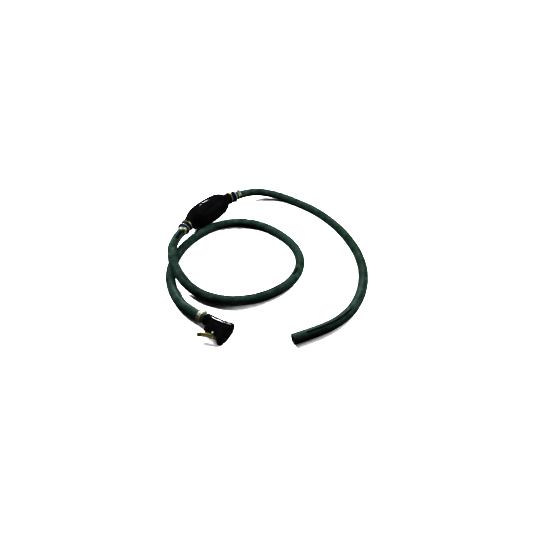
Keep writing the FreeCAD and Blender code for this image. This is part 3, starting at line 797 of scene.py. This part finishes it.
def round_line(radius, start, end, pitch=4.0):
    """Points on a circle, by angle from the top, going clockwise."""
    count = max(2, int(abs(end - start) / pitch))
    turns = [math.radians(start + (end - start) * i / count) for i in range(count + 1)]
    return [Vector((radius * math.sin(t), radius * math.cos(t))) for t in turns]


def ear_clamp(name, place, spin):
    """One strip round the hose: an inner turn, the pinched ear, and an overlapping tail."""
    place = place @ Matrix.Rotation(math.radians(spin), 4, "Z")
    mesh = bmesh.new()
    ear_foot = 25.0
    strip(mesh, round_line(INNER_LAYER, -62, 360 - 118), lambda t: CLAMP_WIDTH, place)
    foot = round_line(OUTER_LAYER, 0, ear_foot, 25)[-1]
    loop = [(foot.x, foot.y), (3.0, 9.6), (2.5, 10.7), (3.4, 12.6), (2.1, 13.45), (0, 13.45)]
    loop += [(-x, y) for x, y in reversed(loop[:-1])]
    corners = [Vector(p) for p in loop]
    bend = [corners[0]]
    for i in range(1, len(corners) - 1):
        a, b = corners[i].lerp(corners[i - 1], 0.5), corners[i].lerp(corners[i + 1], 0.5)
        for k in range(7):
            t = k / 6
            bend.append(a * (1 - t) ** 2 + corners[i] * 2 * t * (1 - t) + b * t ** 2)
    bend.append(corners[-1])
    line = round_line(OUTER_LAYER, 118, ear_foot)
    line += bend[1:-1]
    line += round_line(OUTER_LAYER, -ear_foot, -74)

    def width_at(t):
        middle = abs(t - 0.56)
        return CLAMP_WIDTH - 1.1 * ridge(middle, -1, 0.16, 0.08)

    strip(mesh, line, width_at, place, dimple=0.35)
    for angle in (-58, -68, 84):
        hook = round_line(OUTER_LAYER + 0.34, angle - 4.5, angle + 4.5, 1.5)
        strip(mesh, hook, lambda t: 2.4, place)
    return show(name, mesh, "clamp_steel", sharp=35)


# ---------------------------------------------------------------- connector

HINGE = (-19.0, -20.5)              # the lever's pin, along and across from the mating face
PIN_HOLE = 1.3                      # its radius
SHELL_RADIUS = 10.0
FOOT_RADIUS = 11.95                 # of the rim round the mating face


def connector_place(along=0.0, across=0.0):
    """X out of the mating face, Y away from the lever and Z up, in millimetres."""
    return basis(FACE_WAY, FACE_ACROSS, UP, FACE + FACE_WAY * along + FACE_ACROSS * across)


def connector_shell():
    """The moulded twin-socket body, with all its holes."""
    shape = bmesh.new()
    back, level = rearward(0), connector_place()
    prism(shape, oblong_outline(SHELL_RADIUS, 0, SOCKET_SPACING), 1, 35, back)
    prism(shape, disc_outline(SHELL_RADIUS), 1, 47.4, back)
    prism(shape, oblong_outline(FOOT_RADIUS, 0, 12.0), 0.1, 6.95, back)
    prism(shape, disc_outline(11.0), 10.0, 14.5, back)
    prism(shape, disc_outline(5.0, -5.6, -22.0), -9.95, 9.95, level)
    for ring_at in (38.2, 41.2, 44.2):
        prism(shape, disc_outline(10.4), ring_at - 0.6, ring_at + 0.6, back)
    fuel = turned([(6.3, -2), (6.3, 19), (4.6, 19), (4.6, 38), (7.0, 38), (7.0, 50)], back, 72)
    guide = turned([(4.9, -2), (4.9, 9), (4.6, 9), (4.6, 27)], rearward(0, -SOCKET_SPACING), 72)
    window = bmesh.new()
    prism(window, [(-9.5, -17.3), (-9.5, -30), (-36, -30), (-36, -20.4), (-27, -20.4),
                   (-27, -17.3)], -4.8, 4.8, level)
    pin_hole = bmesh.new()
    prism(pin_hole, disc_outline(PIN_HOLE, *HINGE, 32), -9.8, 9.8, level)
    cuts = [cut_by(cutter) for cutter in (fuel, guide, window, pin_hole)]
    data = applied("connector_shell", shape, [melted(0.4)] + cuts + [melted(0.3), smoothed(4)])
    return show_data("connector_shell", data, "connector_plastic", sharp=180)


def lever_pieces():
    """The pressed thumb lever, with a brown sheet of painted shade let into it and the rivet at
    its front.
    """
    pivot = connector_place(*HINGE)
    front, rear, tail = (4, -3), (-17, -9.2), (-21.9, -12.2)    # along the web's outer face
    shape = bmesh.new()
    prism(shape, [front, (4, -2), (-16.8, -8.2), (-22.2, -11.3), tail, rear], -4.4, 4.4, pivot)
    plate = rounded([front, (4.4, 0.6), (2.2, 2.6), (-1.5, 2.6), (-5, 0.2), (-9, -3.4),
                     (-17, -6.6), (-21, -9.4), tail, rear], 1.0, 3)
    for low, high in ((3.5, 4.4), (-4.4, -3.5)):
        prism(shape, plate, low, high, pivot)
    prism(shape, rounded([(3, -2.6), (4.2, -3), (8, -0.8), (8.6, 4.2), (6.8, 4.2), (6.2, 0.6),
                          (3, -1)], 0.4, 2), -3.0, 3.0, pivot)
    hole = bmesh.new()
    prism(hole, disc_outline(PIN_HOLE, 0, 0, 32), -8, 8, pivot)
    data = applied("latch_channel", shape, [melted(0.2), cut_by(hole), melted(0.17), smoothed(3)])
    channel = show_data("latch_channel", data, "lever_steel", "latch", sharp=180)

    # the sheet of painted shade and the rivet lie on that face: X runs rearward along it and Z
    # out of it
    way = Vector((-21, -6.2, 0)).normalized()
    out = Vector((6.2, -21, 0)).normalized()
    face = pivot @ Matrix((
        (way.x, 0, out.x, -6.8), (way.y, 0, out.y, -6.19), (0, 1, 0, 0), (0, 0, 0, 1)))
    mesh = bmesh.new()
    # a thin brown sheet on the face: painted shade for the shadowed hollow of the lever
    prism(mesh, rounded([(-6.4, -2.4), (9.2, -2.4), (9.2, 2.4), (-6.4, 2.4)], 1.8, 6),
          -0.4, 0.3, face)
    shade_sheet = show("latch_shade_sheet", mesh, "lever_face_shade", "latch", sharp=30)
    edges = shade_sheet.modifiers.new("edges", "BEVEL")
    edges.width = 0.22 * MM
    edges.segments = 3
    dome = [(1.3, -0.5), (1.3, 0.05), (1.2, 0.3), (0.95, 0.5), (0.6, 0.62), (0.2, 0.68)]
    rivet = show("latch_rivet", turned(dome, face @ Matrix.Translation((-8.6, 0, 0)), 48),
                 "pin_steel", "latch")
    return channel, shade_sheet, rivet


# ---------------------------------------------------------------- the assembly

def dress(name):
    """Gives a CAD node that stays in view its material, and returns it."""
    piece = frame["nodes"][name]
    for place in piece.material_slots:
        place.material = MATERIALS[SLOT_OF[name]]
    return piece


TANK = Track(spline_line("tank_line", TANK_ROUTE))
ENGINE = Track(spline_line("engine_line", ENGINE_ROUTE))
CLAMP_MIDDLE = CLAMP_FROM + CLAMP_WIDTH / 2

tank_hose = hose_piece("tank_hose_tube", TANK, [CLAMP_MIDDLE])
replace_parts(tank_hose, "tank_hose")
engine_hose = hose_piece("engine_hose_tube", ENGINE,
                         [CLAMP_MIDDLE, ENGINE.length - CLAMP_MIDDLE])
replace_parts(engine_hose, "engine_hose")

# runs of print: (from, to, degrees round from the top, width)
tank_print = printed("tank_hose_print", TANK, [
    (57, 62, -15, 3.4), (68, 80, -15, 3.4), (85, 300, -14, 1.8), (530, 621, -12, 2.9),
] + tick_row(315, 515, -13))
engine_print = printed("engine_hose_print", ENGINE, [
    (15, 43, -30, 5.4), (235, 246, -10, 2.8), (252, 263, -10, 2.8), (270, 283, -10, 2.8),
    (288, 328, -10, 2.2), (372, 392, -10, 5.2),
] + tick_row(50, 232, -10) + tick_row(331, 366, -10))

bulb = bulb_piece()
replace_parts(bulb, "primer_bulb")
raised_on_bulb("bulb_arrow", [
    (-17, 0), (-8, -6), (-8, -2.2), (15, -2.2), (15, 2.2), (-8, 2.2), (-8, 6),
])

clamps = {}
for neck in ENDS:
    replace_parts(valve_housing(neck), neck + "_valve_housing")
    wires, crimp = neck_wires(neck)
    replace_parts(wires, neck + "_neck_band")
    clamp_at = along_neck(neck, FLANGE_TO + HOSE_GAP + CLAMP_FROM)
    clamps[neck] = ear_clamp(neck + "_clamp", clamp_at, EAR_SPIN[neck])
    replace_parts(clamps[neck], neck + "_hose_clamp")

shell = connector_shell()
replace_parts(shell, "connector_body")
barb = [(3.0, 38), (7.0, 38), (7.0, 47.5), (8.2, 47.5), (8.2, PLUG_BACK), (4.0, PLUG_BACK)]
plug = lathe("connector_plug", barb + hose_barb(PLUG_BACK), rearward(0), "brass", soften=0.12)
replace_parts(plug, "connector_hose_barb")
sleeve = lathe("socket_sleeve",
               [(5.05, 0.9), (5.45, 0.5), (6.3, 0.5), (6.3, 14.5), (5.05, 14.5)],
               rearward(0), "brass", soften=0.12)
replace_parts(sleeve, "fuel_socket_sleeve")
bush = lathe("guide_bush", [(3.55, 0.9), (3.95, 0.5), (4.9, 0.5), (4.9, 9.0), (3.55, 9.0)],
             rearward(0, -SOCKET_SPACING), "brass", soften=0.12)
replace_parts(bush, "guide_socket_bush")
connector_clamp = ear_clamp("connector_clamp", rearward(PLUG_BACK + HOSE_GAP + CLAMP_FROM), 95)
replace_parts(connector_clamp, "connector_hose_clamp")
channel, shade_sheet, rivet = lever_pieces()
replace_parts(channel, "latch_lever")

for neck in ENDS:
    for name in ("valve_seat", "stem_guide", "valve_spring", "poppet", "poppet_seal"):
        dress(neck + "_" + name)
inside = [dress(name) for name in (
    "fuel_socket_oring", "connector_valve_seat", "connector_stem_guide", "connector_spring",
    "connector_plunger", "latch_pivot_pin", "latch_spring",
)]


# ---------------------------------------------------------------- floor, light and camera

def white_floor():
    """A plain white floor inside a white dome, which glow as a lit studio sweep does."""
    mesh = bmesh.new()
    edge = [Vector((x, y, -0.0002)) for x, y in ((-9, -9), (9, -9), (9, 9), (-9, 9))]
    mesh.faces.new([mesh.verts.new(p) for p in edge])
    bmesh.ops.create_uvsphere(mesh, u_segments=64, v_segments=32, radius=12.6)
    data = bpy.data.meshes.new("floor")
    mesh.to_mesh(data)
    mesh.free()
    # it glows from half a metre or so outwards, and shows shadows nearer in
    material, tree, shader = new_material("floor_white", (0.9, 0.9, 0.9), 0.9, specular=0.0)
    where = tree.nodes.new("ShaderNodeTexCoord")
    reach = tree.nodes.new("ShaderNodeVectorMath")
    reach.operation = "LENGTH"
    tree.links.new(where.outputs["Object"], reach.inputs[0])
    glow = ramp(tree, reach.outputs["Value"], [(0.45, 0.0), (0.8, 1.0)])
    tree.links.new(glow, shader.inputs["Emission Color"])
    shader.inputs["Emission Strength"].default_value = 1.0
    data.materials.append(material)
    floor = linked("floor", data)
    floor.visible_diffuse = False
    floor.visible_glossy = False


def soft_light(name, spot, aim, size, power, colour=(1, 1, 1)):
    """An oblong light at a spot, turned to face an aim."""
    light = bpy.data.lights.new(name, "AREA")
    light.shape = "RECTANGLE"
    light.size, light.size_y = size
    light.energy = power
    light.color = colour
    lamp = linked(name, light)
    lamp.location = spot
    lamp.rotation_euler = (Vector(aim) - Vector(spot)).to_track_quat("-Z", "Y").to_euler()
    return lamp


white_floor()
LEFT = Vector((-0.595, 0.804, 0))   # as the camera sees it
BEHIND = Vector((0.804, 0.595, 0))  # away from the camera
AIM = Vector((-0.04, -0.17, 0.0))   # the middle of the assembly
# on each side, a light for the hoses and a broad panel that only reflections show
for name, side, back, power in (("left", LEFT, 0.28, 30), ("right", -LEFT, 0.28, 28)):
    spot = AIM + side * 0.54 + BEHIND * back + UP * 0.56
    soft_light(name + "_light", spot, AIM, (0.2, 0.2), power).visible_glossy = False
    spot = AIM + side * 1.1 + BEHIND * 0.25 + UP * 0.7
    panel = soft_light(name + "_panel", spot, AIM, (0.9, 0.6), 0.6)
    panel.visible_diffuse = False
front = soft_light("front_light", (0.24, -0.66, 0.34), (0.0, -0.34, 0), (0.2, 0.2), 2.5)
front.visible_glossy = False
# narrow far lights that draw one bright line along each of the two glossy black parts
for name, azimuth, elevation, aim, reach, power in (
        ("bulb_strip", 50.5, 32, (0, 0, 0.05), 0.38, 0.024),
        ("connector_strip", 38, 33, (-0.21, -0.21, 0.02), 0.5, 0.13)):
    turn, lift = math.radians(azimuth), math.radians(elevation)
    way = Vector((math.cos(turn) * math.cos(lift), math.sin(turn) * math.cos(lift),
                  math.sin(lift)))
    strip_lamp = soft_light(name, Vector(aim) + way * 1.4, aim, (reach, 0.03), power,
                            (0.82, 0.92, 1.0))
    strip_lamp.data.spread = math.radians(10)
    strip_lamp.visible_diffuse = False
# a weak light from the left that reaches the outer face of the lever
side_fill = soft_light("side_fill", (-0.62, -0.36, 0.22), (-0.235, -0.23, 0.01), (0.05, 0.05),
                       0.014)
side_fill.data.spread = math.radians(12)
side_fill.visible_glossy = False

scene = bpy.context.scene
world = bpy.data.worlds.new("studio")
scene.world = world
world.use_nodes = True
world.node_tree.nodes["Background"].inputs["Color"].default_value = (0.9, 0.95, 1.0, 1)
world.node_tree.nodes["Background"].inputs["Strength"].default_value = 0.03
scene.view_settings.view_transform = "Standard"
scene.view_settings.look = "High Contrast"

camera_data = bpy.data.cameras.new("camera")
camera_data.lens = 25
camera_data.sensor_width = 36
camera_data.clip_end = 50
camera = linked("camera", camera_data)
camera.location = (-0.4639, -0.4988, 0.468)
camera.rotation_euler = (math.radians(48), 0, math.radians(-53.5))
scene.camera = camera
